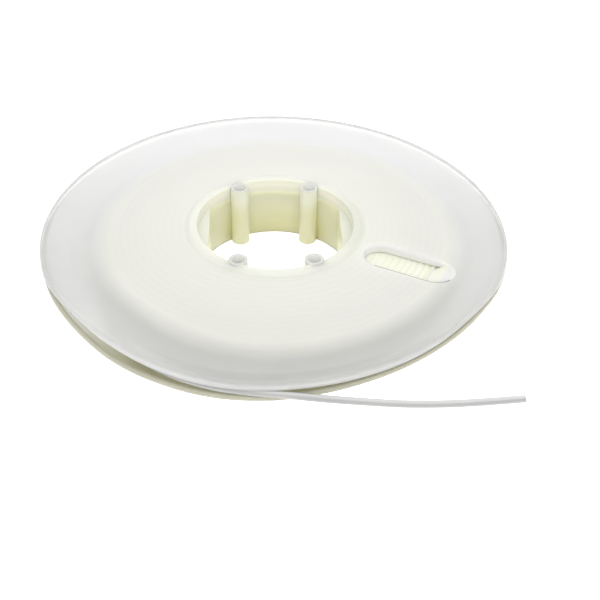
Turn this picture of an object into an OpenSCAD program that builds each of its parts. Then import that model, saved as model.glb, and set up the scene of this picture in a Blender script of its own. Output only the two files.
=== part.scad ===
// String reel: two thin moulded flanges that key together round an open hub, holding one
// wound set of string whose free end leaves between the two rims.
// +Z is the reel's axis. The origin is on that axis, where the hub's lower end stands.

/* [Reel] */
// Outer diameter of both flanges
flange_d = 94; // [84:1:110]
// Height of the hub from its lower end to its upper end
reel_h = 13.6; // [12:0.2:18]
// Wall thickness of both flange discs, which the upper one has at its rim
disc_t = 0.8; // [0.6:0.1:1.2]
// Thickness of the upper disc at the hub, from where it thins evenly to its rim
root_t = 1.9; // [1.2:0.1:2.2]
// Depth of the top flange's rim below the hub's upper end
rim_drop = 1.4; // [1.2:0.1:2.4]
// Diameter of the round bead that edges each rim
bead_d = 1; // [0.9:0.1:1.6]
// Height by which the bead stands proud of its disc
bead_lift = 0.1; // [0.05:0.05:0.2]

/* [Hub] */
// Diameter of the bore
bore_d = 31.6; // [28:0.2:33]
// Wall thickness of the hub
hub_wall = 1.6; // [1.4:0.1:2.4]
// Height of the collar at each end of the hub, where it stands proud of its disc
collar_lift = 0.4; // [0.2:0.1:0.8]
// Bevel on the edges of both collars
collar_bevel = 0.15; // [0.1:0.05:0.2]
// Depth of each drive flat, from the bore's wall inwards
flat_depth = 2.3; // [1.5:0.1:3.5]
// Diameter of the four hollow posts in the bore
post_d = 3.8; // [3.4:0.1:4.4]
// Distance from the bore's wall in to a post's centre
post_inset = 1.1; // [0.9:0.1:1.5]
// Diameter of the socket in each post
socket_d = 2.7; // [2:0.1:2.8]
// Depth of the socket in each post
socket_depth = 6; // [3:0.5:9]
// Radial thickness of the hub's spigot, which centres the top flange
spigot_t = 0.7; // [0.5:0.05:0.8]
// Height of the hub's spigot
spigot_h = 0.6; // [0.4:0.1:0.8]
// Clearance of the spigot and the posts in the top flange
key_fit = 0.05; // [0.03:0.01:0.1]

/* [Window] */
// Length of the window in the top flange
window_l = 18.2; // [12:0.2:20]
// Width of the window
window_w = 6.8; // [4:0.2:8]
// Distance of the window's middle from the reel's axis
window_place = 29; // [28.5:0.5:30]
// Direction in which the window lies, counted from +X
window_angle = -28; // [-35:0.5:-20]

/* [String] */
// Diameter of the string
string_d = 1.3; // [1.1:0.05:1.4]
// Outer diameter of the wound string
winding_d = 64; // [56:1:66]
// Distance between neighbouring turns of the outer layer
turn_pitch = 1.85; // [1.85:0.05:2.4]
// Radius of the winding's upper outer edge, at the string's middle
edge_r = 2; // [2:0.1:3]
// Slack between the wound string and the two flanges
slack = 0.3; // [0.2:0.05:0.4]
// Play of the string between the two rims, on each side
rim_play = 0.05; // [0.05:0.05:0.5]
// Clearance round the packed inner layers
core_fit = 0.05; // [0.03:0.01:0.1]

/* [Hidden] */
$fn = 96;

milky = [0.95, 0.95, 0.92, 0.7];
string_colour = [0.93, 0.91, 0.62];

// A cut runs this far past the solid that it opens
past = 1;

// Hub
bore_r = bore_d / 2;
hub_r = bore_r + hub_wall;
flat_x = bore_r - flat_depth;
post_place = bore_r - post_inset;
post_angles = [60, 120, 240, 300];

// Flanges: each disc's two faces run straight from the hub to its bead
flange_r = flange_d / 2;
bead_r = bead_d / 2;
bead_place = flange_r - bead_r;
joint_z = reel_h - collar_lift - root_t;
top_rim_z = reel_h - rim_drop;
rim_gap = string_d + 2 * rim_play;
gap_z = top_rim_z - bead_d - rim_gap / 2;
low_rim_z = gap_z - rim_gap / 2;
top_slope = (joint_z - (top_rim_z - bead_lift - disc_t)) / (bead_place - hub_r);
dish_z = collar_lift + disc_t;
dish_slope = (low_rim_z - bead_lift - dish_z) / (bead_place - hub_r);
function under_top(r) = joint_z - (r - hub_r) * top_slope;
function over_dish(r) = dish_z + (r - hub_r) * dish_slope;

// A section of the outer layer: out under the top flange, round the edge and down
string_r = string_d / 2;
turn_in = hub_r + slack + string_r;
turn_out = winding_d / 2 - string_r;
edge_in = turn_out - edge_r;
edge_z = under_top(edge_in) - slack - string_r;
turn_low = over_dish(turn_out) + slack + string_r;
run_top = edge_in - turn_in;
run_edge = edge_r * PI / 2;
run_side = edge_z - edge_r - turn_low;
run_all = run_top + run_edge + run_side;
function section(s) =
    s < run_top ? [turn_in + s, under_top(turn_in + s) - slack - string_r]
    : s < run_top + run_edge ?
        let (a = (s - run_top) / edge_r * 180 / PI)
        [edge_in + edge_r * sin(a), edge_z - edge_r * (1 - cos(a))]
    : [turn_out, edge_z - edge_r - (s - run_top - run_edge)];

// The outer layer as one path, which ends where the free string starts
rings_per_turn = 24;
end_angle = 180;
turn_rings = floor(run_all / turn_pitch * rings_per_turn);
function on_turn(i) =
    let (back = (turn_rings - i) / rings_per_turn,
         rz = section(run_all - back * turn_pitch),
         a = end_angle - 360 * back)
    [rz[0] * cos(a), rz[0] * sin(a), rz[1]];
function unit(v) = v / norm(v);
function beyond(p, q) = q + string_d * unit(q - p);
turns = [for (i = [0:turn_rings]) on_turn(i)];
start_way = beyond(turns[1], turns[0]);
end_way = [-turn_out, -string_d, turn_low];
winding_path = concat([start_way], turns, [end_way]);

// Least gap between one turn and the next, over all points at least half a turn apart
turn_gap = min([for (i = [0:turn_rings])
    let (ahead = i + rings_per_turn / 2)
    if (ahead < turn_rings) min([for (j = [ahead:turn_rings]) norm(turns[i] - turns[j])])]) - string_d;
echo(least_gap_between_turns = turn_gap, turns_in_the_outer_layer = turn_rings / rings_per_turn);

// Route of the free string: x, y and the depth below the middle of the rim gap
tail_route = [
    [-32.1, -6, 3.8], [-32.8, -11.5, 3.1], [-32.7, -17.5, 2.4], [-31.3, -24.3, 1.6],
    [-28.3, -31, 1], [-23.8, -37.2, 0.5], [-18.1, -41.7, 0.1], [-11.6, -44.6, 0],
    [-5.1, -46.1, 0], [1.3, -47, 0], [7.8, -48, 0], [14.3, -48.8, 0],
    [20.7, -49.4, 0], [27.8, -49.7, 0], [34.8, -49.6, 0], [41.3, -49.2, 0]
];
tail_points = concat([end_way], [for (p = tail_route) [p[0], p[1], gap_z - p[2]]]);
tail_steps = 2;
function bend(a, b, c, d, t) =
    0.5 * (2 * b + (c - a) * t + (2 * a - 5 * b + 4 * c - d) * t * t
           + (3 * b - a - 3 * c + d) * t * t * t);
function smooth(points, steps) =
    let (n = len(points) - 1)
    [for (i = [0:n - 1], k = [0:steps - 1])
        bend(i == 0 ? turns[turn_rings] : points[i - 1], points[i], points[i + 1],
             points[min(i + 2, n)], k / steps),
     points[n]];

// A closed tube of flat triangles round a path
module tube(path, d, sides) {
    n = len(path);
    way = [for (i = [0:n - 1]) unit(path[min(i + 1, n - 1)] - path[max(i - 1, 0)])];
    rings = [for (i = [0:n - 1])
        let (side = unit(cross(way[i], [0, 0, 1])), up = cross(side, way[i]))
        [for (k = [0:sides - 1])
            let (a = 360 * (k + 0.5) / sides)
            path[i] + d / 2 * (cos(a) * side + sin(a) * up)]];
    walls = [for (i = [0:n - 2], k = [0:sides - 1])
        let (a = i * sides + k, b = i * sides + (k + 1) % sides)
        each [[a, b, b + sides], [a, b + sides, a + sides]]];
    first = [for (k = [1:sides - 2]) [0, k + 1, k]];
    last = [for (k = [1:sides - 2]) (n - 1) * sides * [1, 1, 1] + [0, k, k + 1]];
    polyhedron([for (ring = rings) each ring], concat(walls, first, last), convexity = 10);
}

// Section of a flange disc from the hub to its bead: its inner face, the way and thickness
// from there to its outer face, and the top of its rim
module disc_section(inner_hub_z, inner_rim_z, outward, hub_t, rim_z) {
    outer_hub_z = inner_hub_z + outward * hub_t;
    polygon([
        [hub_r - hub_wall / 2, inner_hub_z], [hub_r, inner_hub_z], [bead_place, inner_rim_z],
        [bead_place, inner_rim_z + outward * disc_t], [hub_r, outer_hub_z],
        [hub_r - hub_wall / 2, outer_hub_z]
    ]);
    translate([bead_place, rim_z - bead_r]) circle(bead_r);
}

// Section of the hub's wall from a joint to an open end, whose two edges are bevelled
module wall_section(joint, open_end) {
    bevel = sign(open_end - joint) * collar_bevel;
    polygon([
        [bore_r, joint], [hub_r, joint], [hub_r, open_end - bevel], [hub_r - collar_bevel, open_end],
        [bore_r + collar_bevel, open_end], [bore_r, open_end - bevel]
    ]);
}

module at_posts() {
    for (a = post_angles) rotate(a) translate([post_place, 0, 0]) children();
}

module window_cut(height) {
    half = (window_l - window_w) / 2;
    rotate(window_angle) translate([window_place, 0, 0]) {
        translate([-half, -window_w / 2, 0]) cube([2 * half, window_w, height]);
        for (end = [-half, half]) translate([end, 0, 0]) cylinder(d = window_w, h = height);
    }
}

// Nearly flat upper disc with its bead, its collar and the window
module top_flange() {
    seat_r = bore_r + spigot_t + key_fit;
    seat_z = joint_z + spigot_h + key_fit;
    color(milky) difference() {
        rotate_extrude() {
            disc_section(joint_z, under_top(bead_place), 1, root_t, top_rim_z);
            wall_section(joint_z, reel_h);
        }
        translate([0, 0, joint_z - past]) cylinder(r = seat_r, h = seat_z - joint_z + past);
        at_posts() translate([0, 0, joint_z - past])
            cylinder(d = post_d + 2 * key_fit, h = reel_h - joint_z + 2 * past);
        translate([0, 0, joint_z - 2 * past]) window_cut(reel_h - joint_z + 3 * past);
    }
}

// Dished lower disc with the hub's wall, its spigot, two drive flats and four posts
module hub_flange() {
    color(milky) difference() {
        union() {
            rotate_extrude() {
                disc_section(dish_z, over_dish(bead_place), -1, disc_t, low_rim_z);
                wall_section(joint_z, 0);
                translate([bore_r, joint_z - past]) square([spigot_t, past + spigot_h]);
            }
            intersection() {
                cylinder(r = bore_r + hub_wall / 2, h = joint_z);
                for (side = [0, 180]) rotate(side)
                    translate([flat_x, -bore_r, 0]) cube([bore_r, 2 * bore_r, joint_z]);
            }
            at_posts() cylinder(d = post_d, h = reel_h);
        }
        at_posts() translate([0, 0, reel_h - socket_depth])
            cylinder(d = socket_d, h = socket_depth + past);
    }
}

// Inner layers of the string, packed between the hub, the dish and the outer layer
module wound_core() {
    under = string_r + core_fit;
    in_r = hub_r + core_fit;
    out_r = turn_out - under;
    corner = edge_r - under;
    top_in = under_top(in_r) - slack - string_d - core_fit;
    color(string_colour) rotate_extrude() {
        polygon([
            [in_r, over_dish(in_r) + core_fit], [out_r, over_dish(out_r) + core_fit],
            [out_r, edge_z - edge_r], [edge_in, edge_z - under], [in_r, top_in]
        ]);
        intersection() {
            translate([edge_in, edge_z - edge_r]) circle(corner);
            translate([edge_in, edge_z - edge_r]) square(edge_r);
        }
    }
}

// Outer layer of the wound string: one tube from the hub outwards and down
module string_winding() {
    color(string_colour) tube(winding_path, string_d, 6);
}

// Free end of the string, from the winding out between the rims
module string_tail() {
    color(string_colour) tube(smooth(tail_points, tail_steps), string_d, 8);
}

top_flange();
hub_flange();
wound_core();
string_winding();
string_tail();
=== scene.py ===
"""String reel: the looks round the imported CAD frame. Sizes below are millimetres unless a name says otherwise."""

import math

import bmesh
import bpy
from mathutils import Matrix, Vector


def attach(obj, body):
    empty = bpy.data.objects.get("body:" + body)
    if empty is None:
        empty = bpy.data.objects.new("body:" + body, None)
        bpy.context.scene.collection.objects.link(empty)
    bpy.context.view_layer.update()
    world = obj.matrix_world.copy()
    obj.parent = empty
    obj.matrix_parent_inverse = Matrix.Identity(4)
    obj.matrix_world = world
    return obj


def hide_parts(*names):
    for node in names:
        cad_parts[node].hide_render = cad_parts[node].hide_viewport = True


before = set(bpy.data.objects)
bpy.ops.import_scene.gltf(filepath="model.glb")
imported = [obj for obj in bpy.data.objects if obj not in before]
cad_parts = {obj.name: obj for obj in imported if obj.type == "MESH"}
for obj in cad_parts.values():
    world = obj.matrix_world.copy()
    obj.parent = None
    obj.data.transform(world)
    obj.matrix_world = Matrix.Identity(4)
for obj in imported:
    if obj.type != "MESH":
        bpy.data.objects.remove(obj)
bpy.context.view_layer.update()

MM = 0.001
BODY = "root"

# ---------------------------------------------------------------- sizes, as in part.scad
FLANGE_R = 47.0
DISC_T = 0.8
BEAD_R = 0.5
BEAD_PLACE = FLANGE_R - BEAD_R
REEL_H = 13.6
BORE_R = 15.8
HUB_R = 17.4
JOINT_Z = 11.3
ROOT_T = 1.9
TOP_RIM_Z = 12.2
LOW_RIM_Z = 9.8
FLAT_X = 13.5
POST_R = 1.9
POST_PLACE = 14.7
POST_ANGLES = (60, 120, 240, 300)
SOCKET_R = 1.35
SOCKET_DEPTH = 6.0
SPIGOT_R = 16.5
SPIGOT_H = 0.6
KEY_FIT = 0.05
TOP_SLOPE = 0.0378
DISH_Z = 1.2
DISH_SLOPE = 0.2921
GAP_Z = 10.5
STRING_D = 1.3
STRING_R = STRING_D / 2
TURN_IN = 18.35
TURN_OUT = 31.4
SLACK = 0.3
WINDOW_L = 18.2
WINDOW_W = 6.8
WINDOW_PLACE = 29.0
WINDOW_ANGLE = -28.0
WINDOW_HALF = (WINDOW_L - WINDOW_W) / 2  # from its middle to the centre of each round end

# ---------------------------------------------------------------- sizes of the looks alone
BORE_EDGE = 0.25  # rounding of the top flange's edge at the bore
HUB_EDGE = 0.15  # rounding of the hub's foot and the posts' ends
FOOT_OUT = 0.8  # how far outside HUB_R the soft rise to the collar starts
FOOT_IN = 0.4  # and how far inside it ends
FACE_END = 0.6  # how far inside BEAD_PLACE a disc's face ends
DISH_UNDER_END = 0.4  # the same for the dish's lower face
LAND_ROOT = 0.8  # how far each flat's solid reaches into the hub's wall
FACE_STEPS = 20  # points along a disc's face
BEAD_STEPS = 22  # round its bead
CHORD_STEPS = 24  # and along the curved side of a flat's solid

# The window's cutter, ring by ring from below: how far it stands outside the window's outline, how far its
# outer end is moved in, and its height over the disc's upper face. Its outer end's wall is slanted, and its
# upper edge rounded.
SLANT = 5.1
WINDOW_RINGS = [
    (0, SLANT, -3), (0, SLANT, -1.4), (0, 0.2, -0.26), (0.08, 0.1, -0.14),
    (0.22, 0, -0.05), (0.38, 0, -0.02), (0.46, 0, 0.06), (0.46, 0, 2),
]

# The outer layer of string, which in the photo is widest under the top flange and slopes in below.
TURN_TOP = 33.7  # radius of its outermost turn; TURN_OUT is that of the turn at the dish
EDGE_R = 0.35  # rounding between its top and its side
TOP_SLACK = 0.15  # between its top turns and the disc over them
PITCH = 1.3
TURN_TRIM = 0.005  # off the string's radius, so that neighbouring turns don't touch
TURN_WAVE = (0.05, 2, 1.3)  # unevenness: size, waves round the reel, shift from turn to turn in radians
ROUND_WAVE = (0.04, 3, 0.7)  # the same for all turns: size, waves round the reel, shift
WAVE_DROP = 0.03  # how far a turn sinks, as a share of its unevenness
STEPS_PER_TURN = 72
TURN_SIDES = 12
FIRST_TURN_ANGLE = 180

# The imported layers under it
CORE_FIT = 0.06  # from the hub
CORE_FILL = 0.6  # outside the centres of the outer layer's turns, at its top and edge
CORE_UNDER = STRING_R * 0.9  # over the slack at the dish, and inside TURN_OUT there
CORE_SIDE_LIFT = 0.4  # how much more its lower outer edge is raised

# How the thin rims are bent: (angle from +X, millimetres)
TOP_RISES = [
    (0, 0), (90, 0), (180, 0), (192, 0), (198, 0.05), (204, 0.2), (210, 0.6), (216, 1.2), (222, 1.6), (230, 1.5),
    (236, 1.05), (242, 0.55), (248, 0.2), (254, -0.05), (260, -0.15), (266, 0), (272, 0.2), (278, 0.45),
    (284, 0.7), (290, 1), (296, 1.3), (302, 1.6), (310, 1.75), (320, 1.75), (330, 1.3), (340, 0.6), (350, 0.1),
]
TOP_DRAWS = [
    (0, 0), (90, 0), (180, 0), (192, 0.1), (200, 0.15), (208, 0.5), (216, 0.75), (224, 0.35), (232, 0.05),
    (250, 0), (280, 0), (300, 0), (308, 0.25), (316, 0.6), (324, 0.6), (334, 0.3), (346, 0.2),
]
LOW_RISES = [
    (0, 1), (90, 1), (180, 1), (188, 1.1), (196, 1.25), (204, 1.5), (212, 1.6), (218, 1.3), (224, 0.8),
    (230, 0.2), (236, -0.1), (244, -0.25), (252, -0.4), (259, -0.3), (265, -0.05), (270, 0.2), (276, 0.8),
    (282, 1.3), (288, 1.8), (296, 2.3), (304, 2.8), (312, 3.05), (324, 3.05), (334, 2.2), (344, 1.4), (352, 1),
]
LOW_DRAWS = [
    (0, 0), (90, 0), (180, 0), (192, 0.15), (200, 0.2), (208, 0.05), (216, 0), (250, 0), (300, 0),
    (312, 0.1), (324, 0.3), (334, 0.3), (346, 0.15),
]
TOP_BEND = 2.0  # powers by which the bend grows from the hub to the rim
LOW_BEND = 3.0


def rotated(x, y, angle):
    """The point (x, y) turned about the reel's axis by an angle in degrees."""
    a = math.radians(angle)
    return x * math.cos(a) - y * math.sin(a), x * math.sin(a) + y * math.cos(a)


POST_CENTRES = [rotated(POST_PLACE, 0, a) for a in POST_ANGLES]


def over_top(r):
    """Upper face of the top flange, whose underside is level at JOINT_Z."""
    return JOINT_Z + ROOT_T - (r - HUB_R) * TOP_SLOPE


def over_dish(r):
    """Inner face of the hub flange's dish."""
    return DISH_Z + (r - HUB_R) * DISH_SLOPE


# ---------------------------------------------------------------- camera
CAMERA_PLACE = Vector((-2.94, -167.61, 128.28))
CAMERA_TURN = math.radians(-2.85)
CAMERA_DOWN = math.radians(38.85)
CAMERA_ROLL = math.radians(1.35)
LENS = 60.0
SENSOR = 36.0

turn = Matrix.Rotation(CAMERA_TURN, 3, "Z")
ahead = turn @ Vector((0, math.cos(CAMERA_DOWN), -math.sin(CAMERA_DOWN)))
level_up = turn @ Vector((0, math.sin(CAMERA_DOWN), math.cos(CAMERA_DOWN)))
level_right = turn @ Vector((1, 0, 0))
right = math.cos(CAMERA_ROLL) * level_right + math.sin(CAMERA_ROLL) * level_up
up = -math.sin(CAMERA_ROLL) * level_right + math.cos(CAMERA_ROLL) * level_up

camera_data = bpy.data.cameras.new("camera")
camera_data.lens = LENS
camera_data.sensor_width = SENSOR
camera_data.clip_start = 0.01
camera_data.clip_end = 10.0
camera = bpy.data.objects.new("camera", camera_data)
bpy.context.scene.collection.objects.link(camera)
turned = Matrix((right, up, -ahead)).transposed().to_4x4()
camera.matrix_world = Matrix.Translation(CAMERA_PLACE * MM) @ turned
bpy.context.scene.camera = camera


# ---------------------------------------------------------------- mesh helpers
def link(name, data):
    """A new object in the scene."""
    piece = bpy.data.objects.new(name, data)
    bpy.context.scene.collection.objects.link(piece)
    return piece


def mesh_piece(name, points, faces):
    """A mesh from points in millimetres."""
    mesh = bpy.data.meshes.new(name)
    mesh.from_pydata([[c * MM for c in p] for p in points], [], faces)
    mesh.update()
    fixed = bmesh.new()
    fixed.from_mesh(mesh)
    bmesh.ops.recalc_face_normals(fixed, faces=fixed.faces)
    fixed.to_mesh(mesh)
    fixed.free()
    return link(name, mesh)


def revolve(name, outline, steps=288):
    """A closed outline of (r, z) turned round the reel's axis."""
    n = len(outline)
    points, faces = [], []
    for i in range(steps):
        a = 2 * math.pi * i / steps
        points += [(r * math.cos(a), r * math.sin(a), z) for r, z in outline]
    for i in range(steps):
        j = (i + 1) % steps
        faces += [
            (i * n + k, i * n + (k + 1) % n, j * n + (k + 1) % n, j * n + k)
            for k in range(n)
        ]
    return mesh_piece(name, points, faces)


def arc(centre, radius, start, end, steps):
    """Points of an arc in the r-z plane, angles in degrees."""
    out = []
    for k in range(steps + 1):
        a = math.radians(start + (end - start) * k / steps)
        out.append((centre[0] + radius * math.cos(a), centre[1] + radius * math.sin(a)))
    return out


def rod(name, centre, radius, low, high, rounding=0.0, steps=64):
    """An upright cylinder, both ends rounded by so much."""
    if rounding:
        outline = arc((radius - rounding, low + rounding), rounding, -90, 0, 5)
        outline += arc((radius - rounding, high - rounding), rounding, 0, 90, 5)
    else:
        outline = [(radius, low), (radius, high)]
    n = len(outline)
    points, faces = [], []
    for i in range(steps):
        a = 2 * math.pi * i / steps
        points += [(centre[0] + r * math.cos(a), centre[1] + r * math.sin(a), z) for r, z in outline]
    for i in range(steps):
        j = (i + 1) % steps
        faces += [(i * n + k, j * n + k, j * n + k + 1, i * n + k + 1) for k in range(n - 1)]
    faces.append([i * n for i in range(steps)][::-1])
    faces.append([i * n + n - 1 for i in range(steps)])
    return mesh_piece(name, points, faces)


def prism(name, outline, low, high):
    """An upright prism over an (x, y) outline."""
    n = len(outline)
    points = [(x, y, low) for x, y in outline] + [(x, y, high) for x, y in outline]
    faces = [list(range(n))[::-1], list(range(n, 2 * n))]
    faces += [(k, (k + 1) % n, n + (k + 1) % n, n + k) for k in range(n)]
    return mesh_piece(name, points, faces)


def combine(piece, others, how):
    """Adds or cuts the others, and removes them."""
    for other in others:
        change = piece.modifiers.new("change", "BOOLEAN")
        change.operation = how
        change.solver = "EXACT"
        change.object = other
    seen = piece.evaluated_get(bpy.context.evaluated_depsgraph_get())
    made = bpy.data.meshes.new_from_object(seen)
    piece.modifiers.clear()
    piece.data = made
    for other in others:
        bpy.data.objects.remove(other)


def smooth(piece, angle=35):
    """Smooth shading that keeps the creases sharper than angle."""
    piece.data.shade_smooth()
    piece.data.set_sharp_from_angle(angle=math.radians(angle))


# ---------------------------------------------------------------- material helpers
def new_material(name):
    """A material, its node tree and its Principled shader."""
    material = bpy.data.materials.new(name)
    material.use_nodes = True
    tree = material.node_tree
    return material, tree, tree.nodes["Principled BSDF"]


def node(tree, kind, **values):
    """A new node; each value sets the input of that name, or else the property."""
    made = tree.nodes.new(kind)
    for key, value in values.items():
        if key in made.inputs:
            made.inputs[key].default_value = value
        else:
            setattr(made, key, value)
    return made


def feed(tree, socket, value):
    """Sets a socket to a number or a colour, or links it to another node's output."""
    if isinstance(value, (int, float)):
        socket.default_value = value
    elif isinstance(value, tuple):
        socket.default_value = (*value, 1)
    else:
        tree.links.new(value, socket)


def ramp(tree, source, stops):
    """A colour ramp: stops are (place, (r, g, b))."""
    made = node(tree, "ShaderNodeValToRGB")
    while len(made.color_ramp.elements) < len(stops):
        made.color_ramp.elements.new(0.5)
    for element, (place, colour) in zip(made.color_ramp.elements, stops):
        element.position = place
        element.color = (*colour, 1)
    tree.links.new(source, made.inputs["Fac"])
    return made.outputs["Color"]


def math_node(tree, operation, *values):
    """Output of a math node, whose values are numbers or other nodes' outputs."""
    made = node(tree, "ShaderNodeMath", operation=operation)
    for socket, value in zip(made.inputs, values):
        feed(tree, socket, value)
    return made.outputs[0]


def plus(tree, a, b):
    return math_node(tree, "ADD", a, b)


def minus(tree, a, b):
    return math_node(tree, "SUBTRACT", a, b)


def times(tree, a, b):
    return math_node(tree, "MULTIPLY", a, b)


def larger(tree, a, b):
    return math_node(tree, "MAXIMUM", a, b)


def flip(tree, share):
    """1 where share is 0, and 0 where it is 1."""
    return minus(tree, 1.0, share)


def shift(tree, share, first, second):
    """A number that goes from first to second as share goes from 0 to 1."""
    return plus(tree, times(tree, share, second - first), first)


def length(tree, a, b):
    """Length of the vector (a, b)."""
    return math_node(tree, "SQRT", plus(tree, times(tree, a, a), times(tree, b, b)))


def distance(tree, x, y, point):
    """Distance of (x, y) from a point in millimetres."""
    return length(tree, minus(tree, x, point[0] * MM), minus(tree, y, point[1] * MM))


def band(tree, value, limits):
    """0 below the first limit and 1 above the second, smooth between; the limits are millimetres."""
    made = node(tree, "ShaderNodeMapRange", interpolation_type="SMOOTHSTEP")
    made.inputs["From Min"].default_value = limits[0] * MM
    made.inputs["From Max"].default_value = limits[1] * MM
    tree.links.new(value, made.inputs["Value"])
    return made.outputs["Result"]


def mix_colour(tree, share, first, second):
    """The first where share is 0 and the second where it is 1: colours, or other nodes' outputs."""
    made = node(tree, "ShaderNodeMix", data_type="RGBA")
    tree.links.new(share, made.inputs[0])
    feed(tree, made.inputs[6], first)
    feed(tree, made.inputs[7], second)
    return made.outputs[2]


def noise(tree, scale, detail):
    """Uneven 0 to 1 that stays with the object."""
    coordinates = node(tree, "ShaderNodeTexCoord")
    made = node(tree, "ShaderNodeTexNoise", Scale=scale, Detail=detail)
    tree.links.new(coordinates.outputs["Object"], made.inputs["Vector"])
    return made.outputs["Fac"]


def place_nodes(tree):
    """x, y, z and distance from the reel's axis, in metres, in the row frame."""
    geometry = node(tree, "ShaderNodeNewGeometry")
    parts = node(tree, "ShaderNodeSeparateXYZ")
    tree.links.new(geometry.outputs["Position"], parts.inputs[0])
    x, y, z = parts.outputs
    return x, y, z, length(tree, x, y)


def moulded_bump(tree, shader, strength=0.06, scale=900.0):
    """Fine uneven skin of a moulded part."""
    bump = node(tree, "ShaderNodeBump", Strength=strength, Distance=0.0001)
    tree.links.new(noise(tree, scale, detail=3.0), bump.inputs["Height"])
    tree.links.new(bump.outputs["Normal"], shader.inputs["Normal"])


def rays_that_show(tree):
    """1 for rays that show a surface, direct, mirrored or through glass, and 0 for those that bring its light."""
    path = node(tree, "ShaderNodeLightPath")
    seen = larger(tree, path.outputs["Is Camera Ray"], path.outputs["Is Glossy Ray"])
    return larger(tree, seen, path.outputs["Is Transmission Ray"])


# ---------------------------------------------------------------- string material
STRING = (0.87, 0.88, 0.77)
STRING_DEEP = (0.85, 0.85, 0.69)
TAIL = (1.0, 1.0, 0.98)
TAIL_DEEP = (0.90, 0.90, 0.90)
# The clear free end refracts the white round it; its grey stands for that: (facing, grey), where facing is 0
# for a surface that faces down and 1 for one that faces up
TAIL_SHADES = [(0.215, 0.56), (0.46, 0.48), (0.675, 0.41), (0.855, 0.40), (0.96, 0.62), (1.0, 0.68)]


def shaded_by_facing(tree, colour, shades):
    """A colour times a grey that depends on how far the object's surface faces up."""
    coordinates = node(tree, "ShaderNodeTexCoord")
    normal = node(tree, "ShaderNodeSeparateXYZ")
    tree.links.new(coordinates.outputs["Normal"], normal.inputs["Vector"])
    facing = times(tree, plus(tree, normal.outputs["Z"], 1.0), 0.5)
    shaded = node(tree, "ShaderNodeVectorMath", operation="MULTIPLY")
    tree.links.new(colour, shaded.inputs[0])
    tree.links.new(ramp(tree, facing, [(at, (grey, grey, grey)) for at, grey in shades]), shaded.inputs[1])
    return shaded.outputs["Vector"]


def make_string_material(name, base, deep, shades=None):
    """Glossy, slightly clouded nylon."""
    material, tree, shader = new_material(name)
    colour = ramp(tree, noise(tree, scale=140.0, detail=2.0), [(0.3, deep), (0.7, base)])
    if shades:
        colour = shaded_by_facing(tree, colour, shades)
    tree.links.new(colour, shader.inputs["Base Color"])
    shader.inputs["Roughness"].default_value = 0.22
    shader.inputs["IOR"].default_value = 1.53
    moulded_bump(tree, shader, 0.03, 500.0)
    return material


string_material = make_string_material("string_nylon", STRING, STRING_DEEP)
tail_material = make_string_material("string_free_end", TAIL, TAIL_DEEP, TAIL_SHADES)


# ---------------------------------------------------------------- free string
# (x, y, depth below GAP_Z)
TAIL_ROUTE = [
    (-31.35, -1.3, 4.275),
    (-32.1, -6, 3.8), (-32.8, -11.5, 3.1), (-32.7, -17.5, 2.4), (-31.3, -24.3, 1.6),
    (-28.3, -31, 1), (-23.8, -37.2, 0.5), (-18.1, -41.7, 0.1), (-11.6, -44.6, 0),
    (-5.1, -46.1, 0), (1.3, -47, 0), (7.8, -48, 0), (14.3, -48.8, 0),
    (20.7, -49.4, 0), (27.8, -49.5, 0), (34.8, -49.1, 0), (41.3, -48.5, 0),
]
TAIL_STEPS = 6  # points from one of the route to the next
tail_points = [Vector((x, y, GAP_Z - depth)) for x, y, depth in TAIL_ROUTE]
before_tail = Vector((-TURN_OUT, 0, tail_points[0].z))


def curve(a, b, c, d, t):
    """Point t, from 0 to 1, of the smooth curve from b to c, which a comes before and d after."""
    return 0.5 * (2 * b + (c - a) * t + (2 * a - 5 * b + 4 * c - d) * t * t + (3 * b - a - 3 * c + d) * t**3)


tail_line = []
for i in range(len(tail_points) - 1):
    a = before_tail if i == 0 else tail_points[i - 1]
    d = tail_points[min(i + 2, len(tail_points) - 1)]
    tail_line += [curve(a, tail_points[i], tail_points[i + 1], d, k / TAIL_STEPS) for k in range(TAIL_STEPS)]
tail_line.append(tail_points[-1])

tail_curve = bpy.data.curves.new("string_free_end", "CURVE")
tail_curve.dimensions = "3D"
tail_curve.bevel_depth = STRING_R * MM
tail_curve.bevel_resolution = 6
tail_curve.use_fill_caps = True
spline = tail_curve.splines.new("POLY")
spline.points.add(len(tail_line) - 1)
for point, place in zip(spline.points, tail_line):
    point.co = (*(place * MM), 1)
tail = link("string_free_end", tail_curve)
tail_curve.materials.append(tail_material)
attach(tail, BODY)
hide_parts("string_tail")


# ---------------------------------------------------------------- flange materials
# The top flange
PALE = (0.96, 0.97, 0.96)  # disc past the string, at the back
DISC_FRONT_SHADE = (0.85, 0.86, 0.84)  # and at the front, darker: painted shade
OVER_STRING = (0.94, 0.96, 0.80)  # disc over a turn of string
GROOVE_SHADE = (0.917, 0.937, 0.777)  # and between two turns, painted darker as the shade in the grooves
COLLAR = (0.88, 0.89, 0.76)
# Next: the collar's right slope, painted darker as shade
COLLAR_SHADE_RIGHT = (0.74, 0.75, 0.65)
COLLAR_WALL = (0.92, 0.90, 0.81)  # in the bore
RIM = (0.94, 0.95, 0.93)  # bead at the back
BEAD_FRONT_SHADE = (0.54, 0.54, 0.53)  # and at the front, painted darker as shade
FOOT_SHADE = (0.72, 0.72, 0.71)  # disc beside the bead at the front, painted darker as shade at the bead's foot
RIM_EDGE = (0.92, 0.92, 0.91)  # outermost edge at the back
CUT = (0.80, 0.80, 0.78)  # window's walls, painted grey as shade
NEAR_EDGE_SHADE = (0.16, 0.16, 0.17)  # its near edge, painted dark as a line of shade
CUT_THIN = (0.87, 0.88, 0.76)  # its slanted wall, where that runs out over the string

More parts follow.
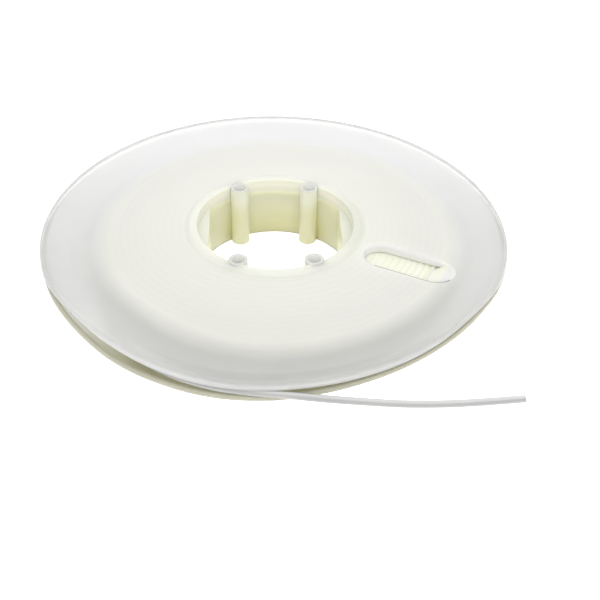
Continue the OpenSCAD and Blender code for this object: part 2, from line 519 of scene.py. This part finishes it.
# The hub flange
DISH = (0.98, 0.97, 0.86)  # dish outside, and a painted pool of light on its inner face under the window
STRING_SIDE_SHADE = (0.40, 0.39, 0.34)  # inside, beside the string: painted shade
DISH_NEAR = (0.90, 0.90, 0.86)  # and further out
INSIDE_RIM_SHADE = (0.31, 0.30, 0.15)  # inside, beside the bead at the front, painted dark as shade between the rims
LOW_BEAD_SHADE = (0.38, 0.37, 0.28)  # bead at the front, painted dark as shade
WALL_LOW = (0.84, 0.80, 0.46)  # hub's wall in the bore, at its foot, darker as painted shade
WALL_HIGH = (0.98, 0.98, 0.64)  # and higher up
WALL_BY_FLAT = (0.99, 0.96, 0.60)  # and by the flats
HUB = (0.83, 0.84, 0.73)  # its top, and the posts' upper part
POST_LOW = (0.76, 0.75, 0.54)  # posts' lower part, yellower from the string behind and darker as painted shade
POST_END_SHADE = (0.69, 0.70, 0.65)  # and their ends, painted grey as the shade in the sockets' mouths
SOCKET = (0.99, 0.99, 0.95)

# How dense the plastic is, and how it thins in the top flange
DISC_ALPHA = 0.92  # top flange, over the string
WALL_ALPHA = 0.93  # everything else
DISC_CLEAR = (0.46, 0.14)  # less than DISC_ALPHA past the string, at the front and at the back
BEAD_CLEAR = (-0.36, 0.40)  # and so much less again in the bead
BACK_SPREAD_LOSS = 0.6  # how much less the back of the disc spreads light

# The turns that show through the top flange, with painted shade between them
SHOWN_PITCH = 1.45
SHOWN_WANDER = 1.2  # most by which noise moves them

# Where one colour gives way to the next, in millimetres: by r from the axis, by x to the right, y to the back
# or z up, or by the distance from a point (x, y)
FRONT_TO_BACK_Y = (-40.0, 40.0)
TOP_STRING_CENTRE, TOP_STRING_END = (0.8, -2.5), (33.0, 38.5)
# The dish's painted shade beside the string is centred forward of the axis, so that it reaches further out at the
# front.
DISH_STRING_CENTRE, DISH_STRING_END = (0.0, -4.0), (35.5, 39.0)
SPREAD_START_R = (15.9, 16.8)
COLLAR_WALL_R, COLLAR_TOP_Z = (15.9, 16.2), (13.0, 13.4)
COLLAR_END_R, COLLAR_SHADE_RIGHT_X = (17.0, 18.6), (10.0, 17.0)
FOOT_SHADE_R, FOOT_SHADE_END_Y = (43.2, 43.9), (-44.0, -34.0)
RIM_R = (45.2, 45.9)
RIM_EDGE_R = (46.55, 46.8)
INSIDE_RIM_SHADE_R, INSIDE_RIM_SHADE_END_Y = (43.2, 44.4), (-44.0, -14.0)
LOW_BEAD_SHADE_R, LOW_BEAD_SHADE_END_Y = (45.7, 46.2), (0.0, 25.0)
WINDOW_LIGHT_CENTRE, WINDOW_LIGHT_END = (33.5, -7.5), (4.0, 6.5)
CUT_THIN_END_R = (35.6, 36.6)
HUB_END_R = (17.0, 17.5)
WALL_Z = (0.5, 9.0)
HUB_TOP_Z = (10.0, 11.2)
POST_Z = (7.0, 12.0)
POST_END_SHADE_Z = (13.3, 13.5)
POST_END_R, POST_END_X = (14.9, 15.7), (9.6, 11.0)
BY_FLAT_X = (9.5, 12.0)
NO_SPREAD_Z = (9.6, 11.0)


def clouded(tree, colour):
    """A colour with faint uneven cloudiness, as milky plastic has."""
    dimmer = tuple(0.985 * c for c in colour)
    return ramp(tree, noise(tree, scale=60.0, detail=3.0), [(0.3, dimmer), (0.7, colour)])


def milky(tree, shader, colour, spread=1.0, alpha=WALL_ALPHA):
    """Natural translucent plastic: light spreads a few millimetres in it, where spread is 1."""
    feed(tree, shader.inputs["Base Color"], colour)
    feed(tree, shader.inputs["Subsurface Weight"], spread)
    feed(tree, shader.inputs["Alpha"], alpha)
    shader.inputs["Subsurface Radius"].default_value = (1.0, 1.0, 1.0)
    shader.inputs["Subsurface Scale"].default_value = 0.004
    shader.inputs["Roughness"].default_value = 0.36
    shader.inputs["IOR"].default_value = 1.49
    shader.inputs["Coat Weight"].default_value = 0.26
    shader.inputs["Coat Roughness"].default_value = 0.3
    moulded_bump(tree, shader)


def turns_showing(tree, r):
    """0 to 1 and back over each turn of the string under the disc, slightly uneven; 0 marks the painted shade
    between turns.
    """
    r = plus(tree, r, times(tree, noise(tree, scale=35.0, detail=1.0), SHOWN_WANDER * MM))
    wave = math_node(tree, "SINE", times(tree, r, 2 * math.pi / (SHOWN_PITCH * MM)))
    return plus(tree, times(tree, wave, 0.5), 0.5)


def make_top_material():
    """Milky disc: dense where the string lies close under it, thinner out to its bead."""
    material, tree, shader = new_material("flange_milky")
    x, y, z, r = place_nodes(tree)
    # Share from the front (0) to the back (1). By it the disc past the string and its bead are painted in shade
    # toward the front; the plastic's clearness and spread also change with it.
    back = band(tree, y, FRONT_TO_BACK_Y)
    past_string = band(tree, distance(tree, x, y, TOP_STRING_CENTRE), TOP_STRING_END)
    rim = band(tree, r, RIM_R)
    edge = band(tree, r, RIM_EDGE_R)

    over_string = mix_colour(tree, turns_showing(tree, r), GROOVE_SHADE, clouded(tree, OVER_STRING))
    pale = mix_colour(tree, back, DISC_FRONT_SHADE, clouded(tree, PALE))
    colour = mix_colour(tree, past_string, over_string, pale)
    # The collar's right slope is painted in shade.
    collar = mix_colour(tree, band(tree, x, COLLAR_SHADE_RIGHT_X), COLLAR, COLLAR_SHADE_RIGHT)
    colour = mix_colour(tree, band(tree, r, COLLAR_END_R), collar, colour)
    # Painted shade at the foot of the bead, at the front
    foot = times(tree, band(tree, r, FOOT_SHADE_R), flip(tree, band(tree, y, FOOT_SHADE_END_Y)))
    colour = mix_colour(tree, foot, colour, FOOT_SHADE)
    # The bead and its outermost edge are painted in shade toward the front.
    colour = mix_colour(tree, rim, colour, mix_colour(tree, back, BEAD_FRONT_SHADE, RIM))
    colour = mix_colour(tree, edge, colour, mix_colour(tree, back, BEAD_FRONT_SHADE, RIM_EDGE))
    past_wall = larger(tree, band(tree, r, COLLAR_WALL_R), band(tree, z, COLLAR_TOP_Z))
    colour = mix_colour(tree, past_wall, COLLAR_WALL, colour)

    clear = times(tree, past_string, shift(tree, back, *DISC_CLEAR))
    clear = plus(tree, clear, times(tree, rim, shift(tree, back, *BEAD_CLEAR)))
    clear = times(tree, clear, flip(tree, edge))
    loss = times(tree, times(tree, past_string, back), BACK_SPREAD_LOSS)
    spread = times(tree, band(tree, r, SPREAD_START_R), flip(tree, loss))
    milky(tree, shader, colour, spread, minus(tree, DISC_ALPHA, clear))
    return material


def make_low_material():
    """Milky dish and hub; the string shows through the thin wall of the bore, and a little through the posts, which
    with the wall are painted darker toward the foot as shade.
    """
    material, tree, shader = new_material("flange_milky_low")
    x, _, z, r = place_nodes(tree)
    aside = math_node(tree, "ABSOLUTE", x)
    on_post = times(tree, flip(tree, band(tree, r, POST_END_R)), flip(tree, band(tree, aside, POST_END_X)))

    # The wall and the posts darken toward the foot: painted shade
    wall = mix_colour(tree, band(tree, z, WALL_Z), WALL_LOW, WALL_HIGH)
    wall = mix_colour(tree, band(tree, aside, BY_FLAT_X), wall, WALL_BY_FLAT)
    post = mix_colour(tree, band(tree, z, POST_Z), POST_LOW, HUB)
    colour = mix_colour(tree, on_post, wall, post)
    colour = mix_colour(tree, band(tree, z, HUB_TOP_Z), colour, HUB)
    # Painted shade on the posts' ends
    colour = mix_colour(tree, band(tree, z, POST_END_SHADE_Z), colour, POST_END_SHADE)
    colour = mix_colour(tree, band(tree, r, HUB_END_R), colour, clouded(tree, DISH))
    milky(tree, shader, colour, flip(tree, larger(tree, on_post, band(tree, z, NO_SPREAD_Z))))
    return material


def make_inside_material():
    """The dish's face between the flanges and its bead: painted shade beside the string and, at the front, beside
    and on the bead; a painted pool of light under the window.
    """
    material, tree, shader = new_material("flange_milky_inside")
    x, y, _, r = place_nodes(tree)
    past_string = band(tree, distance(tree, x, y, DISH_STRING_CENTRE), DISH_STRING_END)
    colour = mix_colour(tree, past_string, clouded(tree, STRING_SIDE_SHADE), clouded(tree, DISH_NEAR))
    # Painted shade inside, beside the bead at the front
    front = times(tree, band(tree, r, INSIDE_RIM_SHADE_R), flip(tree, band(tree, y, INSIDE_RIM_SHADE_END_Y)))
    colour = mix_colour(tree, front, colour, clouded(tree, INSIDE_RIM_SHADE))
    # The dish's bead is painted in shade at the front.
    bead = times(tree, band(tree, r, LOW_BEAD_SHADE_R), flip(tree, band(tree, y, LOW_BEAD_SHADE_END_Y)))
    colour = mix_colour(tree, bead, colour, clouded(tree, LOW_BEAD_SHADE))
    # Painted pool of light on the dish under the window, as by light falling through it
    past_window_light = band(tree, distance(tree, x, y, WINDOW_LIGHT_CENTRE), WINDOW_LIGHT_END)
    milky(tree, shader, mix_colour(tree, past_window_light, DISH, colour))
    return material


def make_cut_material(name, colour, thin=None):
    """The same plastic where little light goes through it, in a colour that for the window's walls and near edge is
    painted shade; thin is its colour where it runs out over the string.
    """
    material, tree, shader = new_material(name)
    colour = clouded(tree, colour)
    if thin is not None:
        r = place_nodes(tree)[3]
        colour = mix_colour(tree, band(tree, r, CUT_THIN_END_R), thin, colour)
    milky(tree, shader, colour, spread=0.0)
    return material


top_material = make_top_material()
low_material = make_low_material()
inside_material = make_inside_material()
socket_material = make_cut_material("flange_milky_socket", SOCKET)
cut_material = make_cut_material("flange_milky_cut", CUT)
near_edge_shade_material = make_cut_material("flange_milky_near_edge_shade", NEAR_EDGE_SHADE)
slant_material = make_cut_material("flange_milky_slant", CUT, CUT_THIN)


# ---------------------------------------------------------------- flanges
def around(values, angle):
    """Smooth curve round the circle through (angle, value) pairs in order, at an angle in degrees."""
    n = len(values)
    k = max((i for i in range(n) if values[i][0] <= angle % 360), default=n - 1)
    (a0, v0), (a1, v1), (a2, v2), (a3, v3) = (values[(k + i) % n] for i in (-1, 0, 1, 2))
    before, span, after = (a1 - a0) % 360, (a2 - a1) % 360, (a3 - a2) % 360
    start = (v2 - v0) / (before + span) * span
    end = (v3 - v1) / (span + after) * span
    t = ((angle - a1) % 360) / span
    return (
        v1 * (2 * t**3 - 3 * t**2 + 1) + start * (t**3 - 2 * t**2 + t)
        + v2 * (3 * t**2 - 2 * t**3) + end * (t**3 - t**2)
    )


def bend_share(r, power):
    """How much of the rim's bend a disc has at r."""
    return ((r - HUB_R) / (FLANGE_R - HUB_R)) ** power


def bend_rim(piece, rises, draws, power):
    """Bends a thin disc: its rim rises, and is drawn in, by so many millimetres at each angle."""
    for vertex in piece.data.vertices:
        x, y = vertex.co.x, vertex.co.y
        r = math.hypot(x, y) / MM
        if r <= HUB_R:
            continue
        share = bend_share(r, power)
        angle = math.degrees(math.atan2(y, x)) % 360
        vertex.co.z += around(rises, angle) * share * MM
        drawn = 1 - around(draws, angle) * share / r
        vertex.co.x, vertex.co.y = x * drawn, y * drawn


def window_outline(extra, slant, steps=24):
    """The window's outline, widened by extra and its outer end moved in by slant."""
    radius = WINDOW_W / 2 + extra
    out = []
    for side, start in ((WINDOW_HALF, -90), (-WINDOW_HALF, 90)):
        for k in range(steps + 1):
            a = math.radians(start + 180 * k / steps)
            moved = slant * max(math.cos(a), 0) if side > 0 else 0
            out.append((WINDOW_PLACE + side + radius * math.cos(a) - moved, radius * math.sin(a)))
    return [rotated(x, y, WINDOW_ANGLE) for x, y in out]


def window_cutter():
    """The solid that cuts the window, ring on ring."""
    points, faces = [], []
    for extra, slant, rise in WINDOW_RINGS:
        points += [(x, y, over_top(math.hypot(x, y)) + rise) for x, y in window_outline(extra, slant)]
    n = len(points) // len(WINDOW_RINGS)
    for i in range(len(WINDOW_RINGS) - 1):
        low, high = i * n, (i + 1) * n
        faces += [(low + k, low + (k + 1) % n, high + (k + 1) % n, high + k) for k in range(n)]
    faces += [list(range(n))[::-1], list(range(len(points) - n, len(points)))]
    return mesh_piece("window", points, faces)


def bead_meets(rise, slope):
    """Angle on the bead, in degrees, at which a disc face that passes rise above its middle meets it."""
    a, b, c = 1 + slope * slope, 2 * rise * slope, rise * rise - BEAD_R * BEAD_R
    u = (-b - math.sqrt(b * b - 4 * a * c)) / (2 * a)
    return math.degrees(math.atan2(rise + slope * u, u))


def face_line(face, first, last, steps):
    """Points of a disc face, a function of r, from r first to r last."""
    radii = [first + (last - first) * k / steps for k in range(steps + 1)]
    return [(r, face(r)) for r in radii]


def collar_foot(r):
    """Soft rise from the disc's upper face to the collar's top."""
    t = (HUB_R + FOOT_OUT - r) / (FOOT_OUT + FOOT_IN)
    return over_top(r) + (REEL_H - over_top(r)) * t * t * (3 - 2 * t)


def make_top_flange():
    """The upper disc with its bead and collar, cut by the window and the posts' notches."""
    bead_z = TOP_RIM_Z - BEAD_R
    under = bead_meets(JOINT_Z - bead_z, 0)
    over = bead_meets(over_top(BEAD_PLACE) - bead_z, -TOP_SLOPE)
    seat_r, seat_z = SPIGOT_R + KEY_FIT, JOINT_Z + SPIGOT_H
    outline = [(BORE_R, seat_z), (seat_r, seat_z), (seat_r, JOINT_Z)]
    outline += face_line(lambda r: JOINT_Z, HUB_R, BEAD_PLACE - FACE_END, FACE_STEPS)
    outline += arc((BEAD_PLACE, bead_z), BEAD_R, under % 360 - 360, over, BEAD_STEPS)
    outline += face_line(over_top, BEAD_PLACE - FACE_END, HUB_R + FOOT_OUT + 0.1, FACE_STEPS)
    outline += face_line(collar_foot, HUB_R + FOOT_OUT, HUB_R - FOOT_IN, 12)
    outline += arc((BORE_R + BORE_EDGE, REEL_H - BORE_EDGE), BORE_EDGE, 90, 180, 5)
    piece = revolve("top_flange_disc", outline)
    cutters = [window_cutter()]
    cutters += [rod("notch", centre, POST_R + KEY_FIT, JOINT_Z - 2, REEL_H + 2) for centre in POST_CENTRES]
    combine(piece, cutters, "DIFFERENCE")
    return piece


def make_hub_flange():
    """The dish, the hub's wall and spigot, two flats and four hollow posts, all in one."""
    bead_z = LOW_RIM_Z - BEAD_R
    outer = bead_meets(over_dish(BEAD_PLACE) - DISC_T - bead_z, DISH_SLOPE)
    inner = bead_meets(over_dish(BEAD_PLACE) - bead_z, DISH_SLOPE)
    outline = arc((BORE_R + HUB_EDGE, HUB_EDGE), HUB_EDGE, 180, 270, 4)
    outline += arc((HUB_R - HUB_EDGE, HUB_EDGE), HUB_EDGE, 270, 360, 4)
    outline += face_line(lambda r: over_dish(r) - DISC_T, HUB_R, BEAD_PLACE - DISH_UNDER_END, FACE_STEPS)
    outline += arc((BEAD_PLACE, bead_z), BEAD_R, outer % 360 - 360, inner, BEAD_STEPS)
    outline += face_line(over_dish, BEAD_PLACE - FACE_END, HUB_R, FACE_STEPS)
    outline += [(HUB_R, JOINT_Z), (SPIGOT_R, JOINT_Z), (SPIGOT_R, JOINT_Z + SPIGOT_H)]
    outline += [(BORE_R, JOINT_Z + SPIGOT_H)]
    piece = revolve("hub_flange_dish", outline)
    added = []
    reach = BORE_R + LAND_ROOT
    half = math.degrees(math.acos(FLAT_X / reach))
    chord = [rotated(reach, 0, -half + 2 * half * k / CHORD_STEPS) for k in range(CHORD_STEPS + 1)]
    for side in (1, -1):
        added.append(prism("land", [(side * x, side * y) for x, y in chord], 0, JOINT_Z))
    added += [rod("post", centre, POST_R, 0, REEL_H, HUB_EDGE) for centre in POST_CENTRES]
    combine(piece, added, "UNION")
    cutters = [rod("socket", centre, SOCKET_R, REEL_H - SOCKET_DEPTH, REEL_H + 1) for centre in POST_CENTRES]
    combine(piece, cutters, "DIFFERENCE")
    return piece


# How faces are told apart by place. The top flange's are told apart before it is bent.
CLEAR_OF_FACE = 0.01  # least way from the disc's own faces, and most from a socket's wall
WINDOW_EDGE_REACH = 0.41  # how far the rounded edge runs outside the window's outline
NEAR_SIDE = -1.2  # across the window, where its near side starts
NEAR_SIDE_START = -4  # along the window, where its near edge's painted shade starts
SLANTED = 0.15  # least upward part of the slanted wall's normal
INSIDE_START = 33.0  # radius from which the dish's inner face is seen between the flanges
INSIDE_FACING = -0.5  # least upward part of that face's normal, which takes in its bead


def top_slot(face):
    """Material of a face of the top flange: 0 disc; 1 window's wall, painted grey as shade; 2 its near edge,
    painted dark as shade; 3 its slanted wall.
    """
    x, y, z = face.center / MM
    along, across = rotated(x, y, -WINDOW_ANGLE)
    along -= WINDOW_PLACE
    outside = math.hypot(max(abs(along) - WINDOW_HALF, 0), across) - WINDOW_W / 2
    between_faces = JOINT_Z + CLEAR_OF_FACE < z < over_top(math.hypot(x, y)) - CLEAR_OF_FACE
    if outside >= WINDOW_EDGE_REACH or not between_faces:
        return 0
    if outside > 0 and across < NEAR_SIDE and along > NEAR_SIDE_START:
        return 2
    if along > WINDOW_HALF and face.normal.z > SLANTED:
        return 3
    return 1


def hub_slot(face):
    """Material of a face of the hub flange: 0 hub and dish, 1 inner face, 2 sockets."""
    x, y, z = face.center / MM
    if math.hypot(x, y) > INSIDE_START and face.normal.z > INSIDE_FACING:
        return 1
    from_post = min(math.hypot(x - a, y - b) for a, b in POST_CENTRES)
    in_depth = REEL_H - SOCKET_DEPTH - 0.1 < z < REEL_H - 0.05  # with its floor, without the post's end
    return 2 if in_depth and from_post < SOCKET_R + CLEAR_OF_FACE else 0


top = make_top_flange()
top.data.materials.clear()
for material in (top_material, cut_material, near_edge_shade_material, slant_material):
    top.data.materials.append(material)
for face in top.data.polygons:
    face.material_index = top_slot(face)
bend_rim(top, TOP_RISES, TOP_DRAWS, TOP_BEND)
smooth(top)
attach(top, BODY)
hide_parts("top_flange")

hub = make_hub_flange()
bend_rim(hub, LOW_RISES, LOW_DRAWS, LOW_BEND)
smooth(hub)
hub.data.materials.clear()
for material in (low_material, inside_material, socket_material):
    hub.data.materials.append(material)
for face in hub.data.polygons:
    face.material_index = hub_slot(face)
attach(hub, BODY)
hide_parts("hub_flange")


# ---------------------------------------------------------------- wound string
run_top = TURN_TOP - EDGE_R - TURN_IN
run_edge = EDGE_R * math.pi / 2
edge_in = TURN_TOP - EDGE_R
edge_z = JOINT_Z - TOP_SLACK - STRING_R
turn_low = over_dish(TURN_OUT) + SLACK + STRING_R
run_side = edge_z - EDGE_R - turn_low
run_under = TURN_OUT - TURN_IN
run_all = run_top + run_edge + run_side + run_under


def section(s):
    """Point of the outer layer's section: out under the top flange, round the edge, down and in over the dish."""
    if s < run_top:
        r = TURN_IN + s
        return r, edge_z
    s -= run_top
    if s < run_edge:
        a = s / EDGE_R
        return edge_in + EDGE_R * math.sin(a), edge_z - EDGE_R * (1 - math.cos(a))
    s -= run_edge
    if s < run_side:
        return TURN_TOP - (TURN_TOP - TURN_OUT) * s / run_side, edge_z - EDGE_R - s
    s -= run_side
    r = TURN_OUT - s
    return r, over_dish(r) + SLACK + STRING_R


def winding_path():
    """Centre line of the outer layer, whose top turns follow the bent disc."""
    count = int(run_all / PITCH * STEPS_PER_TURN)
    path = []
    for i in range(count + 1):
        turn = i / STEPS_PER_TURN
        s = turn * PITCH
        r, z = section(s)
        a = math.radians(FIRST_TURN_ANGLE) + 2 * math.pi * i / STEPS_PER_TURN
        size, waves, shift_each = TURN_WAVE
        wave = size * math.sin(waves * a + shift_each * math.floor(turn))
        size, waves, shift_all = ROUND_WAVE
        wave += size * math.sin(waves * a + shift_all)
        if s < run_top:
            z += around(TOP_RISES, math.degrees(a)) * bend_share(r, TOP_BEND)
        path.append(Vector(((r + wave) * math.cos(a), (r + wave) * math.sin(a), z - WAVE_DROP * abs(wave))))
    return path


def make_winding():
    """The outer layer: one tube along its centre line, its sides level."""
    path = winding_path()
    points, faces = [], []
    n = len(path)
    for i, p in enumerate(path):
        way = (path[min(i + 1, n - 1)] - path[max(i - 1, 0)]).normalized()
        side = way.cross(Vector((0, 0, 1))).normalized()
        lift = side.cross(way)
        for k in range(TURN_SIDES):
            a = 2 * math.pi * k / TURN_SIDES
            points.append(p + (STRING_R - TURN_TRIM) * (math.cos(a) * side + math.sin(a) * lift))
    for i in range(n - 1):
        for k in range(TURN_SIDES):
            a, b = i * TURN_SIDES + k, i * TURN_SIDES + (k + 1) % TURN_SIDES
            faces.append((a, b, b + TURN_SIDES, a + TURN_SIDES))
    faces.append(list(range(TURN_SIDES))[::-1])
    faces.append(list(range((n - 1) * TURN_SIDES, n * TURN_SIDES)))
    return mesh_piece("string_turns", points, faces)


def make_core():
    """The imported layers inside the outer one, as one ring."""
    inner, outer = HUB_R + CORE_FIT, TURN_OUT - CORE_UNDER
    outline = [
        (inner, over_dish(inner) + SLACK + CORE_UNDER),
        (outer, over_dish(outer) + SLACK + CORE_UNDER + CORE_SIDE_LIFT),
    ]
    outline += arc((edge_in, edge_z - EDGE_R), EDGE_R + CORE_FILL, 0, 90, 8)
    outline += [(inner, edge_z + CORE_FILL)]
    return revolve("string_core", outline, 144)


turns = make_winding()
smooth(turns, 60)
turns.data.materials.append(string_material)
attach(turns, BODY)
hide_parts("string_winding")

core = make_core()
smooth(core, 30)
core.data.materials.append(string_material)
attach(core, BODY)
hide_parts("wound_core")


# ---------------------------------------------------------------- floor, world and lamps
FLOOR_HALF = 1500
FLOOR_GLOW = 0.7  # light added where the floor is seen, so that it is white there
WORLD_LIGHT = 0.80  # strength of the world's light; where the world is seen it is 1


def make_floor():
    """A wide floor at z = 0, white where it is seen."""
    corners = [(x * FLOOR_HALF, y * FLOOR_HALF, 0) for x, y in ((-1, -1), (1, -1), (1, 1), (-1, 1))]
    floor = mesh_piece("floor", corners, [(0, 1, 2, 3)])
    material, tree, shader = new_material("floor_white")
    shader.inputs["Base Color"].default_value = (0.98, 0.98, 0.98, 1)
    shader.inputs["Roughness"].default_value = 0.9
    shader.inputs["Specular IOR Level"].default_value = 0.0
    shader.inputs["Emission Color"].default_value = (1, 1, 1, 1)
    tree.links.new(times(tree, rays_that_show(tree), FLOOR_GLOW), shader.inputs["Emission Strength"])
    floor.data.materials.append(material)


def make_world():
    """White surroundings, which give the object a little less light than they show."""
    world = bpy.data.worlds.new("world")
    bpy.context.scene.world = world
    world.use_nodes = True
    tree = world.node_tree
    background = tree.nodes["Background"]
    background.inputs["Color"].default_value = (1, 1, 1, 1)
    tree.links.new(shift(tree, rays_that_show(tree), WORLD_LIGHT, 1), background.inputs["Strength"])


def lamp(name, place, size, power, target=(0, 0, 0.01)):
    """A soft square lamp; place, size and target in metres."""
    data = bpy.data.lights.new(name, "AREA")
    data.shape = "SQUARE"
    data.size = size
    data.energy = power
    made = link(name, data)
    made.location = place
    made.rotation_mode = "QUATERNION"
    made.rotation_quaternion = (Vector(target) - Vector(place)).to_track_quat("-Z", "Y")


make_floor()
make_world()
lamp("lamp_front", (0.0, -0.40, 0.40), 0.5, 1.3)
lamp("lamp_back", (0.0, 0.44, 0.14), 0.3, 0.18)
lamp("lamp_right", (0.42, 0.0, 0.30), 0.4, 0.34)
lamp("lamp_left", (-0.42, 0.0, 0.30), 0.4, 0.15)

view_settings = bpy.context.scene.view_settings
view_settings.view_transform = "Standard"
